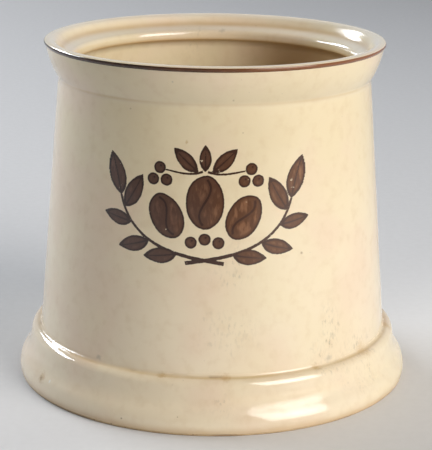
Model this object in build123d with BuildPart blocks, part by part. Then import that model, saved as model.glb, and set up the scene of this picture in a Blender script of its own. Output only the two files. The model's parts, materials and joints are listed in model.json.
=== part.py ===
from build123d import *
import math
import os

# A glazed stoneware canister without its lid: a tapered wall on a moulded skirt, a flared collar with a
# brown line round the lip, and a gallery and neck inside the mouth that once carried the lid.
# Millimetres, +Z up, origin on the floor at the middle of the foot, the painted front towards -Y.
# Sizes are those of the glazed surface. Directions are degrees in the profile plane, 0 pointing outwards.

# Wall and collar
wall_base_radius = 77.55     # outside of the wall where it meets the skirt
wall_height = 111.6          # skirt crease to collar crease
wall_taper = 9.25            # how far the wall leans in over its height
wall_thickness = 5.0
collar_height = 13.9         # collar crease to the start of the bead
collar_flare = 5.05
collar_bow = 0.75            # how far the collar swells beyond a straight cone

# Skirt and toe
ledge_width = 3.8            # the small ledge at the top of the skirt
ledge_rise = 0.6
shoulder_round = 3.5         # its rounded shoulder
crease_round = 1.5           # its root against the wall
band_height = 9.26           # the upright band below the shoulder
band_draft = 1.81
cove_round = 15.0            # the hollow between band and toe
toe_round = 10.0             # the swelling round of the toe
toe_top_angle = 37.0         # where the toe's round ends, above the horizontal
toe_undercut = 18.5          # where it meets the floor, below the horizontal
glaze_line = 12.0            # where the glaze ends on the toe, below the horizontal

# Foot
foot_ring_width = 5.6        # bearing width of the unglazed foot ring
foot_edge_round = 0.7
recess_depth = 4.5
recess_lean = 1.2
recess_round = 1.6
recess_glaze_gap = 1.0       # bare clay left inside the foot ring, up the recess wall
floor_thickness = 6.0
floor_round = 10.0           # corner between the inside wall and the floor

# Lip, gallery and neck
bead_root_round = 0.5        # the hollow under the bead
bead_root_turn = 55.0
bead_round = 0.9             # the bead that carries the brown line
bead_line_end = 129.0        # direction of the bead's surface where the brown line stops
lip_slope = 172.0            # direction of the lip's top, rising slightly inwards
lip_width = 3.45             # from the bead to the corner of the crest
crest_round = 4.0
lip_face_width = 3.4         # the face that falls from the crest to the gallery
lip_face_drop = 4.9
groove_round = 8.0
gallery_width = 5.5          # the sloping gallery that carries a lid
gallery_drop = 2.6
gallery_round = 2.5
neck_land = 3.6              # gallery corner to the lower corner of the neck
neck_round = 1.1
undercut_drop = 2.4          # the slope from the neck back to the inside wall
undercut_round = 4.5

# Coats
glaze = 0.4                  # thickness of every glaze coat
paint = 0.2                  # how far the painted decoration stands proud

# Painted decoration: a coffee sprig in a flat drawing that is wrapped round the wall
drawing_height = 93.0        # the drawing's middle above the floor
line_width = 0.75            # dark outlines and furrows
vein_width = 0.8             # a leaf's midrib at its root
branch_reach = 36.0          # from the middle to the tip of each branch
branch_rise = 2.0            # tips above the drawing's middle
branch_drop = 23.5           # cut ends below the drawing's middle
branch_width = 1.7
branch_margin = 17.4         # from a branch's tip back to the middle of the berries beside it
twig_width = 1.0
leaf_length = 14.5
leaf_width = 6.6
leaf_bend = 1.8              # how far a tip bends off the leaf's line
bean_length = 22.0
bean_width = 15.5
bean_rise = 1.5              # centre of the middle bean above the drawing's middle
side_bean_length = 19.4      # the two beans beside the middle one
side_bean_width = 13.6
side_bean_tilt = 28          # degrees off upright
side_bean_drop = 4.6         # their centres below the drawing's middle
bean_gap = 0.5               # between neighbouring beans, side to side
furrow_margin = 1.6          # from a bean's end to the end of its furrow
berry_radius = 2.5
berry_gap = 0.6              # between neighbouring berries
shape_gap = 1.5              # between the middle bean and what is above and below it


def toward(angle):
    """The unit vector that points at an angle."""
    return Vector(math.cos(math.radians(angle)), math.sin(math.radians(angle)))


# ---- Corners of the profile, as (radius, height) ----

shoulder_radius = wall_base_radius + ledge_width
band_radius = shoulder_radius + band_draft
cove_turn = toe_top_angle - math.degrees(math.atan2(band_draft, band_height))
cove_lead = 1.1 * cove_round * math.tan(math.radians(cove_turn / 2))
toe_end_radius = band_radius - cove_lead * toward(90 + toe_top_angle).X
toe_centre = Vector(toe_end_radius, 0) + toe_round * Vector(-toward(toe_top_angle).X, toward(toe_undercut).Y)
toe_end = toe_centre + toward(toe_top_angle) * toe_round
band_foot = toe_end + toward(90 + toe_top_angle) * cove_lead
shoulder = Vector(shoulder_radius, band_foot.Y + band_height)
crease = Vector(wall_base_radius, shoulder.Y + ledge_rise)
collar_crease = crease + Vector(-wall_taper, wall_height)
collar_top = collar_crease + Vector(collar_flare, collar_height)
collar_middle = (collar_crease + collar_top) * 0.5 + toward(
    math.degrees(math.atan2(collar_height, collar_flare)) - 90
) * collar_bow
foot_outer = toe_centre + toward(-toe_undercut) * toe_round
foot_inner = Vector(foot_outer.X - foot_ring_width - foot_edge_round, 0)
recess_corner = Vector(foot_inner.X - recess_lean, recess_depth)
recess_end = foot_inner + (recess_corner - foot_inner).normalized() * (foot_edge_round + recess_glaze_gap)
floor_height = recess_depth + floor_thickness

with BuildLine() as collar_curve:
    ThreePointArc(collar_crease, collar_middle, collar_top)
with BuildLine() as bead_root:
    JernArc(collar_top, collar_curve.line % 1, bead_root_round, -bead_root_turn)
bead_start = bead_root.line @ 1
bead_direction = math.degrees(math.atan2((bead_root.line % 1).Y, (bead_root.line % 1).X))
with BuildLine() as bead_outside:
    JernArc(bead_start, bead_root.line % 1, bead_round, bead_line_end - bead_direction)
with BuildLine() as bead_inside:
    JernArc(bead_outside.line @ 1, bead_outside.line % 1, bead_round, lip_slope - bead_line_end)

bead_end = bead_inside.line @ 1
crest = bead_end + toward(lip_slope) * lip_width
groove = crest + Vector(-lip_face_width, -lip_face_drop)
gallery_corner = groove + Vector(-gallery_width, -gallery_drop)
neck_radius = gallery_corner.X
neck_corner = gallery_corner - Vector(0, neck_land)
undercut_height = neck_corner.Y - undercut_drop
inside_wall_radius = collar_crease.X - wall_thickness
wall_slope = wall_taper / wall_height


def inside_radius(height):
    """Radius of the inside wall, which keeps its thickness behind the leaning outside."""
    return inside_wall_radius + (collar_crease.Y - height) * wall_slope


undercut = Vector(inside_radius(undercut_height), undercut_height)
floor_corner = Vector(inside_radius(floor_height), floor_height)

# ---- The surface in stretches, each followed with the clay on its left ----

with BuildLine() as recess_path:
    FilletPolyline((0, recess_depth), recess_corner, recess_end, radius=recess_round)
with BuildLine() as bare_path:
    Polyline(recess_end, foot_inner, foot_outer)
    CenterArc(toe_centre, toe_round, -toe_undercut, toe_undercut - glaze_line)
with BuildLine() as outside_path:
    CenterArc(toe_centre, toe_round, -glaze_line, glaze_line + toe_top_angle)
    FilletPolyline(
        toe_end, band_foot, shoulder, crease, collar_crease,
        radius=[cove_round, shoulder_round, crease_round],
    )
    add(collar_curve.line)
with BuildLine() as band_path:
    add(bead_root.line)
    add(bead_outside.line)
with BuildLine() as inside_path:
    add(bead_inside.line)
    FilletPolyline(
        bead_end, crest, groove, gallery_corner, neck_corner, undercut, floor_corner, (0, floor_height),
        radius=[crest_round, groove_round, gallery_round, neck_round, undercut_round, floor_round],
    )


def coat_section(path):
    """The section of a coat of glaze whose surface is the path."""
    with BuildSketch() as section:
        with BuildLine():
            add(path.line)
            offset(amount=glaze, side=Side.LEFT)
        make_face()
    return section.sketch


# ---- The vessel and its coats ----

with BuildPart() as stoneware_body:
    with BuildSketch(Plane.XZ) as clay_section:
        with BuildLine():
            add(recess_path.line)
            add(bare_path.line)
            add(outside_path.line)
            add(band_path.line)
            add(inside_path.line)
            Line((0, floor_height), (0, recess_depth))
        make_face()
        for corner in (foot_inner, foot_outer):
            fillet(clay_section.vertices().sort_by_distance(corner)[0], radius=foot_edge_round)
        for path in (recess_path, outside_path, band_path, inside_path):
            add(coat_section(path), mode=Mode.SUBTRACT)
    revolve(axis=Axis.Z)

with BuildPart() as outer_glaze:
    with BuildSketch(Plane.XZ):
        add(coat_section(outside_path))
    revolve(axis=Axis.Z)

with BuildPart() as rim_band:
    with BuildSketch(Plane.XZ):
        add(coat_section(band_path))
    revolve(axis=Axis.Z)

with BuildPart() as liner_glaze:
    with BuildSketch(Plane.XZ):
        add(coat_section(inside_path))
    revolve(axis=Axis.Z)

with BuildPart() as foot_glaze:
    with BuildSketch(Plane.XZ):
        add(coat_section(recess_path))
    revolve(axis=Axis.Z)

# ---- The painted decoration: a coffee sprig, drawn flat and wrapped round the front of the wall ----

wrap_radius = crease.X - (drawing_height - crease.Y) * wall_slope


def on_wall(point):
    """Where a point of the flat drawing falls on the wall, seen from the front."""
    return Vector(wrap_radius * math.sin(point.X / wrap_radius), drawing_height + point.Y)


def stroke(points, start_width, end_width):
    """A brush stroke along a cubic curve, from one width to another."""
    chords = [points[1] - points[0], points[2] - points[0], points[3] - points[1], points[3] - points[2]]
    sides = [
        Vector(-chord.Y, chord.X).normalized() * (start_width + (end_width - start_width) * i / 3) / 2
        for i, chord in enumerate(chords)
    ]
    left = [on_wall(point + side) for point, side in zip(points, sides)]
    right = [on_wall(point - side) for point, side in zip(points, sides)]
    with BuildSketch() as shape:
        with BuildLine():
            Bezier(*left)
            Line(left[3], right[3])
            Bezier(*reversed(right))
            Line(right[0], left[0])
        make_face()
    return shape.sketch


def rounded(centre, angle, length, width):
    """A closed round outline, as long and as wide as given, turned to an angle."""
    along = toward(angle) * length / 2
    side = toward(angle + 90) * width / 2
    turns = [math.radians(45 * i) for i in range(8)]
    points = [on_wall(centre + along * math.cos(turn) + side * math.sin(turn)) for turn in turns]
    with BuildSketch() as shape:
        with BuildLine():
            Spline(*points, periodic=True)
        make_face()
    return shape.sketch


def leaf(root, angle, size, curl):
    """Outline, inner shape and midrib of a pointed leaf that grows from its root along an angle."""
    length, width, bend = leaf_length * size, leaf_width * size, leaf_bend * curl

    def place(along, side):
        bent = side + bend * (along / length) ** 2
        return root + toward(angle) * along + toward(angle + 90) * bent

    def shape(start, end, half):
        upper = [(start, 0), (start + 0.22 * length, 4 / 3 * half), (0.66 * length, 4 / 3 * half), (end, 0)]
        with BuildSketch() as section:
            with BuildLine():
                Bezier(*[on_wall(place(x, y)) for x, y in upper])
                Bezier(*[on_wall(place(x, -y)) for x, y in reversed(upper)])
            make_face()
        return section.sketch

    rib = [place((length - 1.6 * line_width) * i / 3, 0) for i in range(4)]
    return (
        shape(0, length, width / 2),
        shape(1.7 * line_width, length - 2.6 * line_width, width / 2 - line_width),
        stroke(rib, vein_width, 0.45 * vein_width),
    )


def bean(centre, angle, length, width):
    """Outline, inner shape and wavy furrow of a coffee bean."""
    reach = length / 2 - furrow_margin
    shares = [(-1, 0.05), (-0.28, 0.42), (0.28, -0.42), (1, -0.05)]
    furrow = [centre + toward(angle) * reach * a + toward(angle + 90) * width * b for a, b in shares]
    return (
        rounded(centre, angle, length, width),
        rounded(centre, angle, length - 2 * line_width, width - 2 * line_width),
        stroke(furrow, 1.4 * line_width, 1.4 * line_width),
    )


def berry(centre):
    """Outline, inner shape and the small eye of a berry."""
    eye = centre + toward(60) * berry_radius * 0.35
    return (
        rounded(centre, 0, 2 * berry_radius, 2 * berry_radius),
        rounded(centre, 0, 2 * (berry_radius - line_width), 2 * (berry_radius - line_width)),
        rounded(eye, 0, 1.2 * line_width, 1.2 * line_width),
    )


def mirrored(point, across):
    """The point itself, or its mirror image when across is -1."""
    return Vector(across * point.X, point.Y)


def along_branch(share):
    """A point on the branch that sweeps out to the right."""
    weights = [math.comb(3, i) * share**i * (1 - share) ** (3 - i) for i in range(4)]
    return sum((point * weight for point, weight in zip(branch, weights)), Vector(0, 0))


branch = [
    Vector(-0.22 * branch_reach, -branch_drop),
    Vector(0.25 * branch_reach, -0.87 * branch_drop),
    Vector(0.86 * branch_reach, -0.81 * branch_drop),
    Vector(branch_reach, branch_rise),
]
# share along the branch, angle, size, curl of the tip
branch_leaves = [
    (0.36, -14, 1.0, 0.9),
    (0.60, -24, 1.0, 1.2),
    (0.80, 4, 0.94, 0.9),
    (1.00, 80, 1.24, -0.9),
    (0.92, 128, 1.13, -1.1),
]
side_bean_reach = math.hypot(
    side_bean_length / 2 * toward(side_bean_tilt).Y, side_bean_width / 2 * toward(side_bean_tilt).X
)
side_bean = Vector(bean_width / 2 + bean_gap + side_bean_reach, -side_bean_drop)
crown = Vector(0, bean_rise + bean_length / 2 + shape_gap)
berry_step = 2 * berry_radius + berry_gap
low_berry = Vector(0, bean_rise - bean_length / 2 - shape_gap - berry_radius)
berry_cluster = Vector(branch_reach - branch_margin, crown.Y - 0.4 * berry_step)
top_berry = berry_cluster + toward(90) * berry_step / math.sqrt(3)
twig = [
    crown + Vector(0.4 * berry_radius, 0),
    crown + Vector(0.33 * top_berry.X, -0.8 * berry_radius),
    crown + Vector(0.6 * top_berry.X, -0.2 * berry_radius),
    top_berry - Vector(berry_radius, 0.3 * berry_radius),
]

stems_drawn = []
leaves = [leaf(crown, 90, 0.75, 0)]
beans = [bean(Vector(0, bean_rise), 90, bean_length, bean_width)]
berries = [berry(low_berry)]
for across in (1, -1):
    for curve, width in ((branch, branch_width), (twig, twig_width)):
        stems_drawn.append(stroke([mirrored(point, across) for point in curve], width, 0.65 * width))
    crown_leaf_root = crown + Vector(0.44 * leaf_width, 0)
    leaves.append(leaf(mirrored(crown_leaf_root, across), 90 - across * 54, 0.93, across * 0.9))
    for share, angle, size, curl in branch_leaves:
        turned = 90 + across * (angle - 90)
        leaves.append(leaf(mirrored(along_branch(share), across), turned, size, across * curl))
    turned = 90 - across * side_bean_tilt
    beans.append(bean(mirrored(side_bean, across), turned, side_bean_length, side_bean_width))
    berries.append(berry(mirrored(low_berry + Vector(berry_step, -0.25 * berry_step), across)))
    for angle in (90, 210, 330):
        place = berry_cluster + toward(angle) * berry_step / math.sqrt(3)
        berries.append(berry(mirrored(place, across)))


def washes(shapes):
    """The pale inside of each shape, without its lines."""
    with BuildSketch() as section:
        for outline, inside, rib in shapes:
            add(inside)
            add(rib, mode=Mode.SUBTRACT)
    return section.sketch


def lines(shapes):
    """The dark outline and inner line of each shape."""
    with BuildSketch() as section:
        for outline, inside, rib in shapes:
            add(outline)
            add(inside, mode=Mode.SUBTRACT)
            add(rib)
    return section.sketch


# A skin on the wall, as thick as the paint, from which the decoration is cut.
with BuildPart(mode=Mode.PRIVATE) as paint_skin:
    with BuildSketch(Plane.XZ):
        with BuildLine():
            wall_normal = (collar_crease - crease).normalized()
            wall_normal = Vector(wall_normal.Y, -wall_normal.X)
            Polyline(
                crease, collar_crease, collar_crease + wall_normal * paint, crease + wall_normal * paint,
                close=True,
            )
        make_face()
    revolve(axis=Axis.Z)

with BuildPart() as stems:
    with BuildSketch(Plane.XZ):
        add(stems_drawn)
        for outline, inside, rib in leaves + berries:
            add([outline, rib], mode=Mode.SUBTRACT)
    extrude(amount=2 * wall_base_radius)
    add(paint_skin.part, mode=Mode.INTERSECT)

with BuildPart() as leaf_wash:
    with BuildSketch(Plane.XZ):
        add(washes(leaves))
    extrude(amount=2 * wall_base_radius)
    add(paint_skin.part, mode=Mode.INTERSECT)

with BuildPart() as leaf_line:
    with BuildSketch(Plane.XZ):
        add(lines(leaves))
    extrude(amount=2 * wall_base_radius)
    add(paint_skin.part, mode=Mode.INTERSECT)

with BuildPart() as bean_wash:
    with BuildSketch(Plane.XZ):
        add(washes(beans))
    extrude(amount=2 * wall_base_radius)
    add(paint_skin.part, mode=Mode.INTERSECT)

with BuildPart() as bean_line:
    with BuildSketch(Plane.XZ):
        add(lines(beans))
    extrude(amount=2 * wall_base_radius)
    add(paint_skin.part, mode=Mode.INTERSECT)

with BuildPart() as berry_wash:
    with BuildSketch(Plane.XZ):
        add(washes(berries))
    extrude(amount=2 * wall_base_radius)
    add(paint_skin.part, mode=Mode.INTERSECT)

with BuildPart() as berry_line:
    with BuildSketch(Plane.XZ):
        add(lines(berries))
    extrude(amount=2 * wall_base_radius)
    add(paint_skin.part, mode=Mode.INTERSECT)

# ---- Export ----

os.makedirs("parts", exist_ok=True)

stoneware_body.part.label = "stoneware_body"
export_step(stoneware_body.part, "parts/stoneware_body.step")
outer_glaze.part.label = "outer_glaze"
export_step(outer_glaze.part, "parts/outer_glaze.step")
liner_glaze.part.label = "liner_glaze"
export_step(liner_glaze.part, "parts/liner_glaze.step")
foot_glaze.part.label = "foot_glaze"
export_step(foot_glaze.part, "parts/foot_glaze.step")
rim_band.part.label = "rim_band"
export_step(rim_band.part, "parts/rim_band.step")
stems.part.label = "stems"
export_step(stems.part, "parts/stems.step")
leaf_wash.part.label = "leaf_wash"
export_step(leaf_wash.part, "parts/leaf_wash.step")
leaf_line.part.label = "leaf_line"
export_step(leaf_line.part, "parts/leaf_line.step")
bean_wash.part.label = "bean_wash"
export_step(bean_wash.part, "parts/bean_wash.step")
bean_line.part.label = "bean_line"
export_step(bean_line.part, "parts/bean_line.step")
berry_wash.part.label = "berry_wash"
export_step(berry_wash.part, "parts/berry_wash.step")
berry_line.part.label = "berry_line"
export_step(berry_line.part, "parts/berry_line.step")
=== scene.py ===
import bpy
import json
import math
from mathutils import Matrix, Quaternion, Vector

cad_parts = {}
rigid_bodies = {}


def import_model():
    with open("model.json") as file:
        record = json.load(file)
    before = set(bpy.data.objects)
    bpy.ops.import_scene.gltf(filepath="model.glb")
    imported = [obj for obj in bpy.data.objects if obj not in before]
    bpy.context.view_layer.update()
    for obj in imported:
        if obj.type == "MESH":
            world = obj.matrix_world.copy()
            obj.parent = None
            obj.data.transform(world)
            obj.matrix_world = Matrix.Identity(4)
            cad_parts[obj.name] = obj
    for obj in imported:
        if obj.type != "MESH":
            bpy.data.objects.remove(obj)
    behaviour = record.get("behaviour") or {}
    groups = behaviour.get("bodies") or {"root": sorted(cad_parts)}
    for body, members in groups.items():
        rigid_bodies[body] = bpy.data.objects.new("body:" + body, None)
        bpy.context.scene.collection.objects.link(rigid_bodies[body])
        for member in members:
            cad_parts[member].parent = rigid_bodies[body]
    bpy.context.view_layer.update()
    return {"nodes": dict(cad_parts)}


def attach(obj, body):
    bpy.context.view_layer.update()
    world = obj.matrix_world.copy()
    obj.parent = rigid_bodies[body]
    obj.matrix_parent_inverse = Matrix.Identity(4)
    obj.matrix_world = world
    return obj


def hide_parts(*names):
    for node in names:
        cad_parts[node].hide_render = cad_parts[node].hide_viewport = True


# A glazed stoneware canister: clay, its coats of cream glaze, the brown line round the lip and the painted
# sprig. Metres, +Z up, the painted front towards -Y. Profiles are in millimetres, as (radius, height).

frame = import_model()

MM = 0.001
COAT = 0.4                   # thickness of a coat of glaze
TURNS = 192                  # steps round a turned piece
REACH = 2.5                  # longest step along a straight of a profile
ARC_STEP = 5                 # degrees between the points of an arc, which has at least three steps
DOUBLED = 0.002              # points nearer than this are one point
ON_AXIS = 1e-6               # a point nearer the axis than this lies on it
WELD = 1e-6                  # metres between points of a mesh that become one
SHARP_EDGE = 40              # degrees between two faces, past which their edge stays sharp


# ---- Profiles ----

def toward(angle):
    """The unit vector in the profile plane that points at an angle in degrees."""
    return Vector((math.cos(math.radians(angle)), math.sin(math.radians(angle))))


def arc(centre, radius, start, end):
    """Points along an arc about a centre, from one angle to another."""
    steps = max(3, math.ceil(abs(end - start) / ARC_STEP))
    return [centre + radius * toward(start + (end - start) * i / steps) for i in range(steps + 1)]


def curl(start, heading, radius, turn):
    """Points along an arc that leaves a point at a heading and turns left, or right by a negative angle."""
    side = 90 if turn > 0 else -90
    centre = start + radius * toward(heading + side)
    return arc(centre, radius, heading - side, heading - side + turn)


def through(first, middle, last):
    """Points along the arc through three points, and its heading at the end."""
    a, b = middle - first, last - first
    cross = 2 * (a.x * b.y - a.y * b.x)
    centre = first + Vector((
        (b.y * a.length_squared - a.y * b.length_squared) / cross,
        (a.x * b.length_squared - b.x * a.length_squared) / cross,
    ))
    angles = [math.degrees(math.atan2(*reversed(point - centre))) for point in (first, last)]
    turn = (angles[1] - angles[0] + 180) % 360 - 180
    points = arc(centre, (first - centre).length, angles[0], angles[0] + turn)
    return points, angles[1] + math.copysign(90, turn)


def corners(rows):
    """Points along a line through (radius, height, fillet) rows, with its corners rounded."""
    rows = [(Vector(row[:2]), row[2]) for row in rows]
    points = [rows[0][0]]
    for (before, _), (corner, fillet), (after, _) in zip(rows, rows[1:], rows[2:]):
        arriving, leaving = (corner - before).normalized(), (after - corner).normalized()
        cross = arriving.x * leaving.y - arriving.y * leaving.x
        turn = math.degrees(math.atan2(cross, arriving.dot(leaving)))
        back = fillet * math.tan(math.radians(abs(turn) / 2))
        heading = math.degrees(math.atan2(arriving.y, arriving.x))
        points += curl(corner - arriving * back, heading, fillet, turn)
    return points + [rows[-1][0]]


def joined(*stretches):
    """Stretches one after another, with the long straights divided and doubled points dropped."""
    line = [stretches[0][0]]
    for point in [point for stretch in stretches for point in stretch]:
        gap = point - line[-1]
        if gap.length < DOUBLED:
            continue
        steps = math.ceil(gap.length / REACH)
        line += [line[-1] + gap * i / steps for i in range(1, steps)] + [point]
    return line


def sunk(line, depth):
    """The same line, moved by a depth into the clay, which lies on its left."""
    moved = []
    for i, point in enumerate(line):
        along = (line[min(i + 1, len(line) - 1)] - line[max(i - 1, 0)]).normalized()
        if point.x < ON_AXIS:
            along = Vector((math.copysign(1, along.x), 0))
        moved.append(point + depth * Vector((-along.y, along.x)))
    return moved


# Sizes of the part, in millimetres, with directions in degrees in the profile plane
wall_base_radius, wall_height, wall_taper, wall_thickness = 77.55, 111.6, 9.25, 5.0
collar_height, collar_flare, collar_bow = 13.9, 5.05, 0.75
ledge_width, ledge_rise, shoulder_round, crease_round = 3.8, 0.6, 3.5, 1.5
band_height, band_draft, cove_round = 9.26, 1.81, 15.0
toe_round, toe_top_angle, toe_undercut, glaze_line = 10.0, 37, 18.5, 12
foot_ring_width, foot_edge_round = 5.6, 0.7
recess_depth, recess_lean, recess_round, recess_glaze_gap = 4.5, 1.2, 1.6, 1.0
floor_thickness, floor_round = 6.0, 10.0
bead_root_round, bead_root_turn, bead_round, bead_line_end = 0.5, 55, 0.9, 129
lip_slope, lip_width, crest_round, lip_face_width, lip_face_drop = 172, 3.45, 4.0, 3.4, 4.9
groove_round, gallery_width, gallery_drop, gallery_round = 8.0, 5.5, 2.6, 2.5
neck_land, neck_round, undercut_drop, undercut_round = 3.6, 1.1, 2.4, 4.5
wall_slope = wall_taper / wall_height
cove_lead_share, foot_lead_share = 1.1, 1.4     # room for a rounded corner, as a share of what it needs

# Skirt and foot
band_radius = wall_base_radius + ledge_width + band_draft
cove_turn = toe_top_angle - math.degrees(math.atan2(band_draft, band_height))
cove_room = cove_lead_share * cove_round * math.tan(math.radians(cove_turn / 2))
cove_lead = cove_room * toward(90 + toe_top_angle)
toe_middle_radius = band_radius - cove_lead.x - toe_round * toward(toe_top_angle).x
toe_middle = Vector((toe_middle_radius, toe_round * toward(toe_undercut).y))
toe_end = toe_middle + toe_round * toward(toe_top_angle)
band_foot = toe_end + cove_lead
shoulder = band_foot + Vector((-band_draft, band_height))
crease = shoulder + Vector((-ledge_width, ledge_rise))
foot_outer = toe_middle + toe_round * toward(-toe_undercut)
foot_inner = foot_outer - Vector((foot_ring_width + foot_edge_round, 0))
recess_corner = foot_inner + Vector((-recess_lean, recess_depth))
recess_end = foot_inner + (foot_edge_round + recess_glaze_gap) * (recess_corner - foot_inner).normalized()
edge_lead = -toe_undercut + math.degrees(foot_lead_share * foot_edge_round / toe_round)

# Collar and bead
collar_crease = crease + Vector((-wall_taper, wall_height))
collar_top = collar_crease + Vector((collar_flare, collar_height))
bow = collar_bow * toward(math.degrees(math.atan2(collar_height, collar_flare)) - 90)
collar, collar_heading = through(collar_crease, (collar_crease + collar_top) / 2 + bow, collar_top)
bead_heading = collar_heading - bead_root_turn
bead_root = curl(collar_top, collar_heading, bead_root_round, -bead_root_turn)
bead_outside = curl(bead_root[-1], bead_heading, bead_round, bead_line_end - bead_heading)
bead_inside = curl(bead_outside[-1], bead_line_end, bead_round, lip_slope - bead_line_end)

# Mouth and inside
crest = bead_inside[-1] + lip_width * toward(lip_slope)
groove = crest - Vector((lip_face_width, lip_face_drop))
gallery_corner = groove - Vector((gallery_width, gallery_drop))
neck_corner = gallery_corner - Vector((0, neck_land))


def wall_radius(height):
    """Radius of the glazed wall at a height."""
    return collar_crease.x + (collar_crease.y - height) * wall_slope


def inside_point(height):
    """A point on the inside wall at a height."""
    return Vector((wall_radius(height) - wall_thickness, height))


undercut = inside_point(neck_corner.y - undercut_drop)
floor_corner = inside_point(recess_depth + floor_thickness)

# The whole surface in stretches, each followed with the clay on its left
outside = joined(
    arc(toe_middle, toe_round, -glaze_line, toe_top_angle),
    corners([
        (*toe_end, 0), (*band_foot, cove_round), (*shoulder, shoulder_round), (*crease, crease_round),
        (*collar_crease, 0),
    ]),
    collar,
)
band = joined(bead_root, bead_outside)
inside = joined(
    bead_inside,
    corners([
        (*bead_inside[-1], 0), (*crest, crest_round), (*groove, groove_round),
        (*gallery_corner, gallery_round), (*neck_corner, neck_round), (*undercut, undercut_round),
        (*floor_corner, floor_round), (0, floor_corner.y, 0),
    ]),
)
recess = joined(corners([(0, recess_depth, 0), (*recess_corner, recess_round), (*recess_end, 0)]))
bare_foot = joined(
    corners([
        (*recess_end, 0), (*foot_inner, foot_edge_round), (*foot_outer, foot_edge_round),
        (*(toe_middle + toe_round * toward(edge_lead)), 0),
    ]),
    arc(toe_middle, toe_round, edge_lead, -glaze_line),
)


# ---- Node helpers ----
# ---- Node helpers ----

def place(tree, kind, inputs=None, **settings):
    """Adds a node, sets it, and fills or links its inputs by name or number."""
    node = tree.nodes.new(kind)
    for name, value in settings.items():
        setattr(node, name, value)
    for key, value in (inputs or {}).items():
        if isinstance(value, bpy.types.NodeSocket):
            tree.links.new(value, node.inputs[key])
        else:
            node.inputs[key].default_value = value
    return node


def group(name, kind, inputs, outputs):
    """A node group with named sockets. Returns the tree, the sockets it is given and its output node."""
    tree = bpy.data.node_groups.new(name, kind)
    for direction, sockets in (("INPUT", inputs), ("OUTPUT", outputs)):
        for label, socket, *default in sockets:
            made = tree.interface.new_socket(label, in_out=direction, socket_type="NodeSocket" + socket)
            if default:
                made.default_value = default[0]
    return tree, tree.nodes.new("NodeGroupInput").outputs, tree.nodes.new("NodeGroupOutput")


def math_node(tree, operation, *values):
    """The value of a Math node."""
    return place(tree, "ShaderNodeMath", dict(enumerate(values)), operation=operation).outputs[0]


def vector_node(tree, operation, *values):
    """The outputs of a Vector Math node."""
    return place(tree, "ShaderNodeVectorMath", dict(enumerate(values)), operation=operation).outputs


def chained(tree, operation, values):
    """The values taken two by two through a Math node."""
    total = values[0]
    for value in values[1:]:
        total = math_node(tree, operation, total, value)
    return total


def times(tree, *values):
    """The product of values."""
    return chained(tree, "MULTIPLY", values)


def plus(tree, *values):
    """The sum of values."""
    return chained(tree, "ADD", values)


def split(tree, here):
    """The three parts of a vector."""
    return place(tree, "ShaderNodeSeparateXYZ", {0: here}).outputs


def from_axis(tree, here):
    """How far a place is from the upright axis."""
    level = vector_node(tree, "MULTIPLY", here, (1, 1, 0))[0]
    return vector_node(tree, "LENGTH", level)["Value"]


def from_point(tree, here, point):
    """How far a place is from a point."""
    return vector_node(tree, "DISTANCE", here, point)["Value"]


# ---- The potter's wheel ----

def make_wheel():
    """Turns a closed profile round the upright axis."""
    tree, given, result = group(
        "Potter's wheel", "GeometryNodeTree",
        [("Profile", "Geometry"), ("Turns", "Int", TURNS), ("Finish", "Material")],
        [("Turned", "Geometry")],
    )
    count = place(tree, "GeometryNodeAttributeDomainSize", {0: given["Profile"]}).outputs["Point Count"]

    def whole(operation, a, b):
        return place(tree, "FunctionNodeIntegerMath", {0: a, 1: b}, operation=operation).outputs[0]

    rows = whole("ADD", count, 1)
    grid = place(tree, "GeometryNodeMeshGrid", {
        "Vertices X": whole("ADD", given["Turns"], 1), "Vertices Y": rows,
    })
    index = place(tree, "GeometryNodeInputIndex").outputs[0]
    step = whole("DIVIDE_FLOOR", index, rows)
    along = whole("MODULO", whole("MODULO", index, rows), count)
    profile = place(tree, "GeometryNodeSampleIndex", {
        "Geometry": given["Profile"], "Index": along,
    }, data_type="FLOAT_VECTOR")
    tree.links.new(place(tree, "GeometryNodeInputPosition").outputs[0], profile.inputs["Value"])
    point = split(tree, profile.outputs[0])
    angle = times(tree, math_node(tree, "DIVIDE", step, given["Turns"]), math.tau)
    swept = place(tree, "ShaderNodeCombineXYZ", {
        0: times(tree, point[0], math_node(tree, "COSINE", angle)),
        1: times(tree, point[0], math_node(tree, "SINE", angle)),
        2: point[2],
    })
    mapped = place(tree, "GeometryNodeStoreNamedAttribute", {
        "Geometry": grid.outputs["Mesh"], "Name": "UVMap", "Value": grid.outputs["UV Map"],
    }, data_type="FLOAT2", domain="CORNER")
    shaped = place(tree, "GeometryNodeSetPosition", {0: mapped.outputs[0], "Position": swept.outputs[0]})
    closed = place(tree, "GeometryNodeMergeByDistance", {"Geometry": shaped.outputs[0], "Distance": WELD})
    smooth = place(tree, "GeometryNodeSetShadeSmooth", {"Geometry": closed.outputs[0]}, domain="FACE")
    sharp = place(tree, "FunctionNodeCompare", {
        0: place(tree, "GeometryNodeInputMeshEdgeAngle").outputs[0], 1: math.radians(SHARP_EDGE),
    }, operation="GREATER_THAN")
    edged = place(tree, "GeometryNodeSetShadeSmooth", {
        "Geometry": smooth.outputs[0], "Selection": sharp.outputs[0], "Shade Smooth": False,
    }, domain="EDGE")
    finish_off(tree, edged, given["Finish"], result)
    return tree


def finish_off(tree, shaped, finish, result):
    """Ends a Geometry Nodes tree: real geometry with its material."""
    real = place(tree, "GeometryNodeRealizeInstances", {0: shaped.outputs[0]})
    done = place(tree, "GeometryNodeSetMaterial", {0: real.outputs[0], "Material": finish})
    tree.links.new(done.outputs[0], result.inputs[0])


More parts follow.
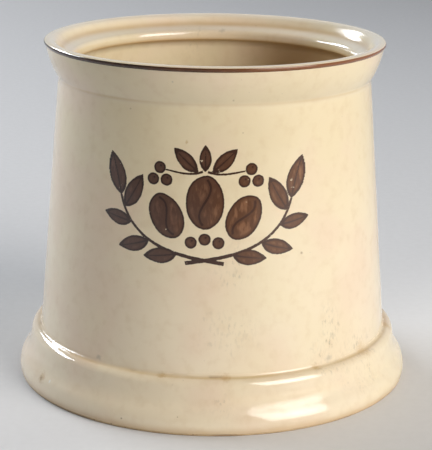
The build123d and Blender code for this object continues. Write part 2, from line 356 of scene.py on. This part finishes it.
def grown(name, mesh, tree, **inputs):
    """A plain mesh object made by running a Geometry Nodes tree on a starting mesh."""
    start = bpy.data.objects.new(name + " start", mesh)
    bpy.context.scene.collection.objects.link(start)
    modifier = start.modifiers.new(tree.name, "NODES")
    modifier.node_group = tree
    for item in tree.interface.items_tree:
        if item.item_type == "SOCKET" and item.in_out == "INPUT" and item.name in inputs:
            modifier[item.identifier] = inputs[item.name]
    graph = bpy.context.evaluated_depsgraph_get()
    made = bpy.data.meshes.new_from_object(start.evaluated_get(graph))
    made.name = name
    start.modifiers.remove(modifier)
    bpy.data.objects.remove(start)
    piece = bpy.data.objects.new(name, made)
    bpy.context.scene.collection.objects.link(piece)
    return piece


def turned(name, loop, finish, node):
    """A turned piece from a closed loop of profile points, which stands for the named CAD node."""
    mesh = bpy.data.meshes.new(name + " profile")
    points = [(point.x * MM, 0, point.y * MM) for point in loop]
    mesh.from_pydata(points, [(i, (i + 1) % len(points)) for i in range(len(points))], [])
    piece = grown(name, mesh, wheel, Turns=TURNS, Finish=finish)
    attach(piece, "root")
    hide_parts(node)


def coat(line):
    """The closed loop of a coat of glaze whose surface is the line."""
    return line + list(reversed(sunk(line, COAT)))


# ---- Shader helpers ----

def noise(tree, here, size, detail=3, stretch=None):
    """Noise whose features have a size in metres, drawn out along an axis where a stretch is given."""
    if stretch:
        here = vector_node(tree, "DIVIDE", here, stretch)[0]
    return place(tree, "ShaderNodeTexNoise", {
        "Vector": here, "Scale": 1 / size, "Detail": detail,
    }).outputs[0]


def ramp(tree, value, low, high, start=0.0, end=1.0):
    """A smooth step from start to end as a value goes from low to high."""
    return place(tree, "ShaderNodeMapRange", {
        "Value": value, "From Min": low, "From Max": high, "To Min": start, "To Max": end,
    }, interpolation_type="SMOOTHSTEP").outputs[0]


def mixed(tree, factor, a, b):
    """A colour between two colours."""
    inputs = {0: factor}
    for key, tone in ((6, a), (7, b)):
        inputs[key] = (*tone, 1) if isinstance(tone, tuple) else tone
    return place(tree, "ShaderNodeMix", inputs, data_type="RGBA").outputs[2]


def use(tree, shared, **inputs):
    """Places a shared shader group in a tree and returns its outputs."""
    return place(tree, "ShaderNodeGroup", inputs, node_tree=shared).outputs


# ---- Shader groups that the finishes share ----

def make_specks():
    """Small round specks, one in each cell of a spacing and only in a share of the cells."""
    tree, given, result = group(
        "Specks", "ShaderNodeTree",
        [("Place", "Vector"), ("Spacing", "Float", 0.01), ("Radius", "Float", 0.0005),
         ("Share", "Float", 0.3)],
        [("Mask", "Float")],
    )
    smallest, core = 0.3, 0.4
    cells = place(tree, "ShaderNodeTexVoronoi", {
        "Vector": given["Place"], "Scale": math_node(tree, "DIVIDE", 1, given["Spacing"]),
    })
    chance = place(tree, "ShaderNodeSeparateColor", {0: cells.outputs["Color"]}).outputs
    radius = math_node(tree, "DIVIDE", given["Radius"], given["Spacing"])
    radius = times(tree, radius, plus(tree, chance[1], smallest))
    spot = ramp(tree, cells.outputs["Distance"], times(tree, radius, core), radius, 1, 0)
    chosen = math_node(tree, "LESS_THAN", chance[0], given["Share"])
    tree.links.new(times(tree, spot, chosen), result.inputs[0])
    return tree


def make_ring():
    """A soft ring about a corner of the profile, broken along its length: for glaze or dirt gathered there,
    for painted shade and sheen, and for wear.
    """
    tree, given, result = group(
        "Corner ring", "ShaderNodeTree",
        [("Place", "Vector"), ("Radius", "Float"), ("Height", "Float"), ("Width", "Float", 0.001),
         ("Breaks", "Float", 0.5)],
        [("Mask", "Float")],
    )
    width_wander, break_length = 0.015, 0.026
    here = given["Place"]
    away = math_node(tree, "SUBTRACT", from_axis(tree, here), given["Radius"])
    above = math_node(tree, "SUBTRACT", split(tree, here)[2], given["Height"])
    width = times(tree, given["Width"], plus(tree, noise(tree, here, width_wander, 2), 0.5))
    gap = plus(tree, times(tree, away, away), times(tree, above, above))
    bell = math_node(tree, "EXPONENT", math_node(tree, "DIVIDE", gap, times(tree, width, width, -1)))
    weakest = math_node(tree, "SUBTRACT", 1, given["Breaks"])
    lasting = ramp(tree, noise(tree, here, break_length), 0.38, 0.62, weakest, 1)
    tree.links.new(times(tree, bell, lasting), result.inputs[0])
    return tree


def make_blot():
    """One spot with a ragged edge, round a point."""
    tree, given, result = group(
        "Blot", "ShaderNodeTree",
        [("Place", "Vector"), ("Centre", "Vector"), ("Radius", "Float", 0.001)],
        [("Mask", "Float")],
    )
    rag_size, rag_depth = 0.0012, 1.4
    gap = from_point(tree, given["Place"], given["Centre"])
    ratio = math_node(tree, "DIVIDE", gap, given["Radius"])
    ragged = math_node(tree, "SUBTRACT", noise(tree, given["Place"], rag_size, 2), 0.5)
    ratio = math_node(tree, "SUBTRACT", ratio, times(tree, ragged, rag_depth))
    tree.links.new(ramp(tree, ratio, 0.1, 1.1, 1, 0), result.inputs[0])
    return tree


# ---- Cream glaze ----

LOW_CREAM, TOP_CREAM = (0.775, 0.665, 0.490), (0.745, 0.630, 0.425)
PINK_CREAM, YELLOW_CREAM = (0.745, 0.590, 0.435), (0.76, 0.655, 0.45)
TAN, OCHRE, STRAW = (0.52, 0.34, 0.16), (0.43, 0.24, 0.07), (0.50, 0.32, 0.11)
# The second colour on the next line is painted shade, browner, for the inside wall in shadow.
UMBER, INSIDE_SHADE_BROWN = (0.16, 0.085, 0.035), (0.33, 0.18, 0.065)
SOOT, SCUFF = (0.30, 0.27, 0.22), (0.22, 0.195, 0.15)
# The second colour on the next line is paler worn glaze together with a painted sheen.
CHIP, PALE_WORN_SHEEN = (0.86, 0.84, 0.78), (0.78, 0.735, 0.665)
CREAM_TURNS = 0.035, 0.120   # heights between which the cream turns yellower

# Soft drifts of tone: size, detail, where the noise sets in and where it is full, strength and colour.
DRIFTS = (
    (0.035, 2, 0.42, 0.68, 0.80, PINK_CREAM),
    (0.060, 2, 0.50, 0.75, 0.80, YELLOW_CREAM),
    (0.0045, 4, 0.45, 0.80, 0.16, TAN),
)
# Rings about corners of the profile, where glaze or dirt has gathered, with painted shade in the groove and
# under the neck and a painted sheen over paler worn glaze on the crest and the gallery: a corner of the
# profile, width, how broken, strength and colour. Lengths are in millimetres here, in the blemishes and in
# the scuffs, and in metres in the drifts and the specks.
RINGS = (
    (crease + Vector((0.9, 0.1)), 1.1, 0.55, 0.55, STRAW),
    (toe_middle + toe_round * toward(-glaze_line), 2.2, 0.15, 0.55, TAN),
    (collar_crease, 0.7, 0.35, 0.35, TAN),
    # the groove: gathered tan glaze, deepened as painted shade
    (groove, 1.8, 0.10, 0.65, TAN),
    # under the neck edge: gathered ochre glaze and a painted shadow
    (neck_corner + Vector((0.1, -0.3)), 1.2, 0.10, 0.75, OCHRE),
    # the crest and the gallery: paler worn glaze and a painted sheen
    (crest, 2.8, 0.20, 0.60, PALE_WORN_SHEEN),
    ((groove + gallery_corner) / 2, 2.4, 0.20, 0.45, PALE_WORN_SHEEN),
)
# Single blemishes: degrees round from the front, radius and height of the spot, size, strength and colour.
BLEMISHES = (
    (-56.0, 85.9, 8.4, 3.4, 0.55, TAN),       # pit at the foot of the skirt
    (-56.0, 85.9, 8.0, 1.4, 0.45, UMBER),
    (-51.4, 85.8, 8.8, 0.9, 0.80, CHIP),
    (-35.2, 77.4, 24.2, 1.6, 0.45, SOOT),     # dirt along the crease
    (-12.4, 78.5, 22.1, 2.2, 0.45, OCHRE),
    (6.9, 78.5, 22.1, 2.6, 0.45, OCHRE),
    (36.5, 78.3, 22.1, 2.4, 0.45, OCHRE),
    (42.0, 77.4, 24.4, 2.2, 0.40, SOOT),
    (58.0, 78.4, 22.4, 5.0, 0.40, STRAW),
    (85.0, 78.2, 22.8, 5.0, 0.55, STRAW),
    (179.6, 62.0, 143.1, 2.0, 0.35, SOOT),    # on the gallery
    (32.3, 73.5, 71.8, 0.9, 0.55, UMBER),     # specks on the wall
    (-6.4, 69.6, 118.6, 0.9, 0.45, OCHRE),
    (-10.5, 72.5, 143.4, 0.6, 0.50, SOOT),
    (-26.7, 68.6, 130.2, 0.6, 0.40, UMBER),
    (-22.3, 87.4, 4.3, 0.6, 0.60, UMBER),
    (8.9, 69.5, 135.8, 0.6, 0.35, UMBER),
)
# Scattered specks: spacing, radius, the share of places that have one, strength and colour.
SPECKS = ((0.013, 0.0005, 0.30, 0.45, UMBER), (0.0042, 0.0003, 0.18, 0.25, SOOT))
# Scuffed places: degrees round from the front, height, half width, half height, strength.
SCUFFED = ((43.0, 38.0, 7.0, 14.0, 1.0), (8.0, 41.0, 16.0, 13.0, 0.55), (150.0, 70.0, 14.0, 20.0, 0.5))


def round_at(degrees, radius, height):
    """A point at an angle round from the front, in metres."""
    turn = math.radians(degrees)
    return radius * math.sin(turn) * MM, -radius * math.cos(turn) * MM, height * MM


def ring(tree, here, corner, width, breaks):
    """The mask of a soft ring about a corner of the profile, in millimetres."""
    radius, height = corner * MM
    return use(
        tree, ring_group, Place=here, Radius=radius, Height=height, Width=width * MM, Breaks=breaks,
    )[0]


def stained_and_shaded(tree, here, colour):
    """The colour with what has gathered in the corners, painted shade in the groove and under the neck, a
    painted sheen on the crest and the gallery, the crust in the crease and the blemishes.
    """
    for corner, width, breaks, strength, tone in RINGS:
        mask = times(tree, ring(tree, here, corner, width, breaks), strength)
        colour = mixed(tree, mask, colour, tone)
    crust = ring(tree, here, crease + Vector((0.5, 0.2)), 0.7, 1.0)
    crust = times(tree, crust, ramp(tree, noise(tree, here, 0.008, 2), 0.54, 0.72), 0.4)
    colour = mixed(tree, crust, colour, UMBER)
    for *spot, size, strength, tone in BLEMISHES:
        blot = use(tree, blot_group, Place=here, Centre=round_at(*spot), Radius=size * MM)[0]
        colour = mixed(tree, times(tree, blot, strength), colour, tone)
    return colour


def painted_inside_shade(tree, here, colour):
    """The colour with painted shade on one side of the inside wall, below the neck: a browner patch where
    the inside lies in shadow.
    """
    # painted shade: a browner patch where the inside wall lies in shadow
    shade_middle, shade_core, shade_edge, shade_strength = round_at(133, 63, 118), 0.016, 0.052, 0.85
    neck_low, neck_high = 0.1378, 0.1392
    wall_middle, soft_edge = (wall_radius(0) - wall_thickness / 2) * MM, 0.0005
    height = split(tree, here)[2]
    level_radius = math_node(tree, "MULTIPLY_ADD", height, wall_slope, from_axis(tree, here))
    inner = ramp(tree, level_radius, wall_middle - soft_edge, wall_middle + soft_edge, 1, 0)
    below = ramp(tree, height, neck_low, neck_high, 1, 0)
    patch = ramp(tree, from_point(tree, here, shade_middle), shade_core, shade_edge, shade_strength, 0)
    return mixed(tree, times(tree, patch, below, inner), colour, INSIDE_SHADE_BROWN)


def scuffs(tree, here):
    """Masks of the grey scuffs, as fine upright flecks in the worn places, and of the smears round them."""
    wear = ramp(tree, noise(tree, here, 0.045, 1), 0.60, 0.75, 0, 0.4)
    for degrees, height, half_width, half_height, strength in SCUFFED:
        centre = round_at(degrees, wall_radius(height), height)
        reach = Vector((half_width, half_width, half_height)) * MM
        offset = vector_node(tree, "SUBTRACT", here, centre)[0]
        ratio = vector_node(tree, "LENGTH", vector_node(tree, "DIVIDE", offset, reach)[0])["Value"]
        wear = math_node(tree, "MAXIMUM", wear, ramp(tree, ratio, 0.1, 1.1, strength, 0))
    flecks = ramp(tree, noise(tree, here, 0.0011, 3, (1, 1, 2.2)), 0.51, 0.64)
    smear = ramp(tree, noise(tree, here, 0.006, 3), 0.48, 0.70)
    return times(tree, wear, flecks, ramp(tree, smear, 0, 1, 0.25, 1)), times(tree, wear, smear)


def wear_of_gloss(tree, here, scuff):
    """Roughness and gloss: duller in the scuffs, on the lip, at the skirt's cove and along the crease."""
    lip = ring(tree, here, (crest + groove) / 2 - Vector((0.2, 0)), 3.6, 0.1)
    above_crease = ring(tree, here, crease + Vector((0.2, 0.9)), 0.9, 0.5)
    below_cove = ring(tree, here, band_foot + Vector((1.2, -1.6)), 2.6, 0.6)
    below_cove = times(tree, below_cove, ramp(tree, noise(tree, here, 0.0030, 3), 0.35, 0.65))
    front_right = ramp(tree, from_point(tree, here, round_at(27, 83.2, 13.8)), 0.018, 0.036, 1, 0)
    cove = times(tree, ring(tree, here, band_foot + Vector((0, 1.6)), 2.4, 0.1), front_right)
    rough = ramp(tree, noise(tree, here, 0.024, 4), 0.35, 0.75, 0.07, 0.15)
    for mask, gain in ((scuff, 0.3), (below_cove, 0.12), (lip, 0.07), (above_crease, 0.25)):
        rough = math_node(tree, "MULTIPLY_ADD", mask, gain, rough)
    gloss = 0.8
    for mask, loss in ((lip, 0.55), (below_cove, 0.35), (cove, 0.85)):
        gloss = math_node(tree, "MULTIPLY_ADD", mask, -loss, gloss)
    return rough, math_node(tree, "MAXIMUM", gloss, 0.0)


def make_cream():
    """Cream glaze over buff clay: mottling, tan where it gathers or thins, painted shade and sheen, specks,
    scuffs, orange peel.
    """
    tree, given, result = group(
        "Cream glaze", "ShaderNodeTree",
        [("Place", "Vector")],
        [("Colour", "Color"), ("Roughness", "Float"), ("Height", "Float"), ("Gloss", "Float")],
    )
    scuff_strength, smear_strength = 0.85, 0.14
    wave_size, wave_height, peel_size, peel_height = 0.018, 0.00020, 0.0016, 0.000016
    speck_height = -0.00003
    here = given["Place"]
    colour = mixed(tree, ramp(tree, split(tree, here)[2], *CREAM_TURNS), LOW_CREAM, TOP_CREAM)
    for size, detail, low, high, strength, tone in DRIFTS:
        drift = ramp(tree, noise(tree, here, size, detail), low, high, 0, strength)
        colour = mixed(tree, drift, colour, tone)
    # gathered glaze and dirt, with painted shade and a painted sheen at some corners
    colour = stained_and_shaded(tree, here, colour)
    # painted shade on the inside wall below the neck
    colour = painted_inside_shade(tree, here, colour)
    specks = []
    for spacing, radius, share, strength, tone in SPECKS:
        specks += [use(tree, speck_group, Place=here, Spacing=spacing, Radius=radius, Share=share)[0]]
        colour = mixed(tree, times(tree, specks[-1], strength), colour, tone)
    scuff, smear = scuffs(tree, here)
    colour = mixed(tree, times(tree, scuff, scuff_strength), colour, SCUFF)
    colour = mixed(tree, times(tree, smear, smear_strength), colour, TAN)
    height = plus(
        tree, times(tree, noise(tree, here, wave_size, 2), wave_height),
        times(tree, noise(tree, here, peel_size, 2), peel_height), times(tree, specks[0], speck_height),
    )
    rough, gloss = wear_of_gloss(tree, here, scuff)
    for socket, value in zip(result.inputs, (colour, rough, height, gloss)):
        tree.links.new(value, socket)
    return tree


# ---- Finishes ----

def new_finish(name):
    """An empty material. Returns it, its tree, its Principled shader and the Object coordinates."""
    finish = bpy.data.materials.new(name)
    finish.use_nodes = True
    tree = finish.node_tree
    here = place(tree, "ShaderNodeTexCoord").outputs["Object"]
    return finish, tree, tree.nodes["Principled BSDF"], here


def dress(tree, shader, colour, rough, height, gloss=None):
    """Feeds colour, roughness, bump and gloss to the shader."""
    tree.links.new(colour, shader.inputs["Base Color"])
    tree.links.new(rough, shader.inputs["Roughness"])
    bump = place(tree, "ShaderNodeBump", {"Height": height, "Strength": 1.0, "Distance": 1.0})
    tree.links.new(bump.outputs[0], shader.inputs["Normal"])
    if gloss is not None:
        tree.links.new(gloss, shader.inputs["Specular IOR Level"])


def make_cream_finish():
    """Cream glaze alone."""
    finish, tree, shader, here = new_finish("cream glaze")
    dress(tree, shader, *use(tree, cream_group, Place=here))
    return finish


def make_brown_line_finish():
    """The brown line on the bead: thick and nearly black on the left, thinner and redder to the right,
    which is partly painted shade on the left and painted light on the right.
    """
    dark, red, thin, shade_and_brush_across = (0.022, 0.010, 0.006), (0.215, 0.080, 0.030), (0.24, 0.10, 0.045), 6
    finish, tree, shader, here = new_finish("brown line")
    # across the front: the brush's own tone, with painted shade to the left and painted light to the right
    drift = plus(tree, times(tree, split(tree, here)[0], shade_and_brush_across), noise(tree, here, 0.055, 2))
    colour = mixed(tree, ramp(tree, drift, 0.10, 0.75), dark, red)
    streak = noise(tree, here, 0.0038)
    colour = mixed(tree, ramp(tree, streak, 0.55, 0.80, 0, 0.5), colour, thin)
    rough = ramp(tree, streak, 0.3, 0.7, 0.05, 0.12)
    dress(tree, shader, colour, rough, times(tree, streak, 0.00003))
    return finish


# The paint at the left and at the right of the sprig, where it is redder
POOLED_WASH = (0.085, 0.042, 0.028), (0.115, 0.046, 0.018)
THIN_WASH = (0.135, 0.068, 0.044), (0.250, 0.115, 0.052)
LINE_PAINT = (0.040, 0.021, 0.016), (0.062, 0.026, 0.014)


def make_painted_finish():
    """Cream glaze with the sprig: brown washes that pool darker at their edges, and dark outlines."""
    wash_edge, line_edge, pooling = (-0.42, -0.26), (-0.10, 0.10), (0.1, 1.6)     # depths in millimetres
    brush_size, brush_slack = 0.0011, 0.40
    finish, tree, shader, here = new_finish("painted sprig")
    cream = use(tree, cream_group, Place=here)
    unsteady = math_node(tree, "SUBTRACT", noise(tree, here, brush_size), 0.5)
    slack = times(tree, unsteady, brush_slack)
    missed = ramp(tree, noise(tree, here, 0.003), 0.70, 0.76, 1, 0.15)

    def depth_in(name):
        """Millimetres that a point lies inside a painted shape, with the unsteadiness of a brush."""
        depth = place(tree, "ShaderNodeAttribute", attribute_name=name, attribute_type="GEOMETRY")
        return plus(tree, depth.outputs["Fac"], slack)

    wander = times(tree, noise(tree, here, 0.015, 2), 0.03)
    side = ramp(tree, plus(tree, split(tree, here)[0], wander), -0.01, 0.05)
    wash, line = depth_in("wash depth"), depth_in("line depth")
    grain = noise(tree, here, 0.0016, 4, (1, 1, 3.0))
    thinned = times(tree, ramp(tree, wash, *pooling), ramp(tree, grain, 0.40, 0.66))
    brown = mixed(tree, thinned, mixed(tree, side, *POOLED_WASH), mixed(tree, side, *THIN_WASH))
    washed = times(tree, ramp(tree, wash, *wash_edge), missed)
    drawn = times(tree, ramp(tree, line, *line_edge), missed)
    colour = mixed(tree, washed, cream["Colour"], brown)
    colour = mixed(tree, drawn, colour, mixed(tree, side, *LINE_PAINT))
    dress(tree, shader, colour, *cream[1:])
    return finish


def make_clay_finish():
    """Bare buff stoneware, sandy and matt, darker where it has been handled."""
    buff, pale_buff = (0.42, 0.28, 0.15), (0.62, 0.47, 0.29)
    handled, grit_black = (0.20, 0.12, 0.06), (0.10, 0.06, 0.035)
    finish, tree, shader, here = new_finish("bare clay")
    sand = noise(tree, here, 0.0011, 4)
    grime = ramp(tree, noise(tree, here, 0.022), 0.45, 0.75, 0, 0.6)
    grit = use(tree, speck_group, Place=here, Spacing=0.002, Radius=0.0005, Share=0.4)[0]
    colour = mixed(tree, grime, mixed(tree, sand, buff, pale_buff), handled)
    colour = mixed(tree, times(tree, grit, 0.6), colour, grit_black)
    dress(tree, shader, colour, ramp(tree, sand, 0.2, 0.8, 0.7, 0.9), times(tree, sand, 0.00008))
    return finish


# ---- The painted skin: a patch of the wall that knows how deep each point lies in the painting ----

PATCH_WIDTH, PATCH_HEIGHT, PATCH_MIDDLE, PATCH_LIFT, PATCH_STEP = 88.0, 54.0, 93.0, 0.03, 0.36
LINE_NODES = ("stems", "leaf_line", "bean_line", "berry_line")
WASH_NODES = ("leaf_wash", "bean_wash", "berry_wash")
LOOK_FROM, LOOK_DEPTH = 0.002, 0.0025         # where the rays start above the wall, and how far they go
UPRIGHT = 0.5                                 # a side face turns less than this towards the outside


def make_transfer():
    """Lays a flat grid on the wall and stores how deep each point lies in the lines and in the washes."""
    tree, given, result = group(
        "Painted skin", "GeometryNodeTree",
        [("Start", "Geometry"), ("Width", "Float"), ("Height", "Float"), ("Middle", "Float"),
         ("Radius", "Float"), ("Slope", "Float"), ("Step", "Float"),
         ("Lines", "Collection"), ("Washes", "Collection"), ("Finish", "Material")],
        [("Skin", "Geometry")],
    )

    def steps_along(side):
        steps = math_node(tree, "DIVIDE", side, given["Step"])
        return place(tree, "FunctionNodeFloatToInt", {0: steps}).outputs[0]

    grid = place(tree, "GeometryNodeMeshGrid", {
        "Size X": given["Width"], "Size Y": given["Height"],
        "Vertices X": steps_along(given["Width"]), "Vertices Y": steps_along(given["Height"]),
    })
    mapped = place(tree, "GeometryNodeStoreNamedAttribute", {
        "Geometry": grid.outputs["Mesh"], "Name": "UVMap", "Value": grid.outputs["UV Map"],
    }, data_type="FLOAT2", domain="CORNER")
    flat = split(tree, place(tree, "GeometryNodeInputPosition").outputs[0])
    angle = math_node(tree, "DIVIDE", flat[0], given["Radius"])
    radius = math_node(tree, "SUBTRACT", given["Radius"], times(tree, flat[1], given["Slope"]))
    on_wall = place(tree, "ShaderNodeCombineXYZ", {
        0: times(tree, radius, math_node(tree, "SINE", angle)),
        1: times(tree, radius, math_node(tree, "COSINE", angle), -1),
        2: plus(tree, flat[1], given["Middle"]),
    })
    skin = place(tree, "GeometryNodeSetPosition", {0: mapped.outputs[0], "Position": on_wall.outputs[0]})

    here = place(tree, "GeometryNodeInputPosition").outputs[0]
    level = vector_node(tree, "MULTIPLY", here, (1, 1, 0))[0]
    outward = vector_node(tree, "NORMALIZE", level)[0]
    inward = vector_node(tree, "MULTIPLY", outward, (-1, -1, -1))[0]
    above = vector_node(tree, "MULTIPLY_ADD", outward, (LOOK_FROM,) * 3, here)[0]
    for label, stored in (("Lines", "line depth"), ("Washes", "wash depth")):
        solids = place(tree, "GeometryNodeCollectionInfo", {"Collection": given[label]})
        solids = place(tree, "GeometryNodeRealizeInstances", {0: solids.outputs[0]}).outputs[0]
        normal = place(tree, "GeometryNodeInputNormal").outputs[0]
        facing = math_node(tree, "ABSOLUTE", vector_node(tree, "DOT_PRODUCT", normal, outward)["Value"])
        upright = place(tree, "FunctionNodeCompare", {0: facing, 1: UPRIGHT}, operation="LESS_THAN")
        sides = place(tree, "GeometryNodeSeparateGeometry", {
            0: solids, 1: upright.outputs[0],
        }, domain="FACE")
        gap = place(tree, "GeometryNodeProximity", {0: sides.outputs[0]}, target_element="FACES")
        hit = place(tree, "GeometryNodeRaycast", {
            0: solids, "Source Position": above, "Ray Direction": inward, "Ray Length": LOOK_DEPTH,
        })
        sign = place(tree, "GeometryNodeSwitch", {
            "Switch": hit.outputs["Is Hit"], "False": -1 / MM, "True": 1 / MM,
        }, input_type="FLOAT")
        skin = place(tree, "GeometryNodeStoreNamedAttribute", {
            "Geometry": skin.outputs[0], "Name": stored,
            "Value": times(tree, gap.outputs["Distance"], sign.outputs[0]),
        }, data_type="FLOAT", domain="POINT")
    smooth = place(tree, "GeometryNodeSetShadeSmooth", {"Geometry": skin.outputs[0]}, domain="FACE")
    finish_off(tree, smooth, given["Finish"], result)
    return tree


def gathered(name, nodes):
    """A hidden collection with copies of CAD nodes, for the painted skin to measure against."""
    bunch = bpy.data.collections.new(name)
    for node in nodes:
        bunch.objects.link(bpy.data.objects.new(f"{name} {node}", frame["nodes"][node].data.copy()))
    return bunch


def paint_front():
    """The painted front of the wall, which stands for every painted CAD node."""
    lines, washes = gathered("lines", LINE_NODES), gathered("washes", WASH_NODES)
    piece = grown(
        "painted_sprig", bpy.data.meshes.new("painted_sprig start"), make_transfer(),
        Width=PATCH_WIDTH * MM, Height=PATCH_HEIGHT * MM, Middle=PATCH_MIDDLE * MM,
        Radius=(wall_radius(PATCH_MIDDLE) + PATCH_LIFT) * MM, Slope=wall_slope, Step=PATCH_STEP * MM,
        Lines=lines, Washes=washes, Finish=make_painted_finish(),
    )
    for bunch in (lines, washes):
        for thing in list(bunch.objects):
            bpy.data.objects.remove(thing)
        bpy.data.collections.remove(bunch)
    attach(piece, "root")
    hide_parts(*LINE_NODES, *WASH_NODES)


# ---- Making the pieces ----

wheel = make_wheel()
speck_group, ring_group, blot_group = make_specks(), make_ring(), make_blot()
cream_group = make_cream()
cream_finish = make_cream_finish()

clay_loop = sunk(recess, COAT) + bare_foot + sunk(outside, COAT) + sunk(band, COAT) + sunk(inside, COAT)
turned("clay_body", joined(clay_loop), make_clay_finish(), "stoneware_body")
turned("outside_glaze", coat(outside), cream_finish, "outer_glaze")
turned("inside_glaze", coat(inside), cream_finish, "liner_glaze")
turned("recess_glaze", coat(recess), cream_finish, "foot_glaze")
turned("lip_line", coat(band), make_brown_line_finish(), "rim_band")
paint_front()


# ---- Floor, light and camera ----

# The paper's tones: painted light brighter to the right, painted shade far back and close in front.
NEAR_PAPER, LIT_RIGHT_PAPER, SHADED_FAR_PAPER = (0.61, 0.61, 0.62), (0.73, 0.73, 0.735), (0.41, 0.405, 0.41)
SHADED_PAPER, PAPER_TOOTH = (0.16, 0.16, 0.16), (0.50, 0.49, 0.47)
FLOOR_REACH = 8
LOOKED_AT = Vector((0, 0, 0.075))

# Azimuth to the right and elevation in degrees, distance, width and height in metres, spread in degrees,
# power in watts and colour
KEY_LIGHT = 52, 26, 1.6, 1.12, 1.55, 80, 8.4, (1.0, 0.96, 0.905)
SIDE_LIGHT = -127, 28, 2.0, 1.7, 0.36, 180, 37, (0.92, 0.96, 1.0)
FRONT_WALL, BACK_WALL, CEILING = (0.27, 0.27, 0.27), (0.58, 0.61, 0.66), (0.04, 0.04, 0.04)

LENS, SENSOR = 125.2, 36
CAMERA_TURN, CAMERA_DISTANCE, CAMERA_HEIGHT = math.radians(2.7), 0.67667, 0.25841
CAMERA_PITCH, CAMERA_ROLL, CAMERA_YAW = 0.27857, 0.010835, -0.001855


def make_floor():
    """A sheet of pale paper with painted light, brighter to the right and shaded towards the back and the
    front, with a very faint tooth.
    """
    finish, tree, shader, here = new_finish("paper floor")
    across, back, _ = split(tree, here)
    slant = math_node(tree, "MULTIPLY_ADD", across, -1.6, back)
    # painted light: brighter to the right
    colour = mixed(tree, ramp(tree, slant, -0.17, 0.01), LIT_RIGHT_PAPER, NEAR_PAPER)
    slant = math_node(tree, "MULTIPLY_ADD", across, -0.8, back)
    # painted shade towards the back
    colour = mixed(tree, ramp(tree, slant, -0.04, 1.6), colour, SHADED_FAR_PAPER)
    # painted shade towards the front
    colour = mixed(tree, ramp(tree, back, -1.1, -0.25, 1, 0), colour, SHADED_PAPER)
    tooth = noise(tree, here, 0.004, 4)
    colour = mixed(tree, ramp(tree, tooth, 0.3, 0.8, 0, 0.05), colour, PAPER_TOOTH)
    dress(tree, shader, colour, ramp(tree, tooth, 0.3, 0.7, 0.6, 0.75), times(tree, tooth, 0.00003))
    mesh = bpy.data.meshes.new("floor")
    ends = (-1, -1), (1, -1), (1, 1), (-1, 1)
    mesh.from_pydata([(x * FLOOR_REACH, y * FLOOR_REACH, 0) for x, y in ends], [], [(0, 1, 2, 3)])
    floor = bpy.data.objects.new("floor", mesh)
    mesh.materials.append(finish)
    bpy.context.scene.collection.objects.link(floor)


def soft_light(name, azimuth, elevation, distance, width, height, spread, power, colour):
    """A softbox that looks at the middle of the canister and fades to its edges."""
    a, e = math.radians(azimuth), math.radians(elevation)
    way = Vector((math.sin(a) * math.cos(e), -math.cos(a) * math.cos(e), math.sin(e)))
    lamp = bpy.data.lights.new(name, "AREA")
    lamp.shape, lamp.size, lamp.size_y = "RECTANGLE", width, height
    lamp.energy, lamp.color, lamp.spread = power, colour, math.radians(spread)
    made = bpy.data.objects.new(name, lamp)
    made.location = LOOKED_AT + way * distance
    made.rotation_mode = "QUATERNION"
    made.rotation_quaternion = (-way).to_track_quat("-Z", "Y")
    bpy.context.scene.collection.objects.link(made)


def make_studio():
    """A room with a pale back, a darker front and a dark ceiling."""
    world = bpy.data.worlds.new("studio")
    world.use_nodes = True
    tree = world.node_tree
    way = split(tree, place(tree, "ShaderNodeTexCoord").outputs["Generated"])
    walls = mixed(tree, ramp(tree, way[1], -0.9, 0.1), FRONT_WALL, BACK_WALL)
    over = math_node(tree, "MULTIPLY_ADD", way[1], -0.35, way[2])
    walls = mixed(tree, ramp(tree, over, 0.10, 0.75), walls, CEILING)
    tree.links.new(walls, tree.nodes["Background"].inputs[0])
    bpy.context.scene.world = world
    bpy.context.scene.view_settings.view_transform = "Standard"


def make_camera():
    """A long lens from the front, a little above and a little to the right."""
    lens = bpy.data.cameras.new("camera")
    lens.sensor_width, lens.lens = SENSOR, LENS
    lens.clip_start, lens.clip_end = 0.01, 50
    camera = bpy.data.objects.new("camera", lens)
    sideways, forwards = math.sin(CAMERA_TURN), math.cos(CAMERA_TURN)
    camera.location = (CAMERA_DISTANCE * sideways, -CAMERA_DISTANCE * forwards, CAMERA_HEIGHT)
    heading = CAMERA_TURN + CAMERA_YAW
    ahead = Vector((
        -math.sin(heading) * math.cos(CAMERA_PITCH), math.cos(heading) * math.cos(CAMERA_PITCH),
        -math.sin(CAMERA_PITCH),
    ))
    camera.rotation_mode = "QUATERNION"
    camera.rotation_quaternion = ahead.to_track_quat("-Z", "Y") @ Quaternion((0, 0, 1), CAMERA_ROLL)
    bpy.context.scene.collection.objects.link(camera)
    bpy.context.scene.camera = camera


make_floor()
soft_light("key", *KEY_LIGHT)
soft_light("side", *SIDE_LIGHT)
make_studio()
make_camera()
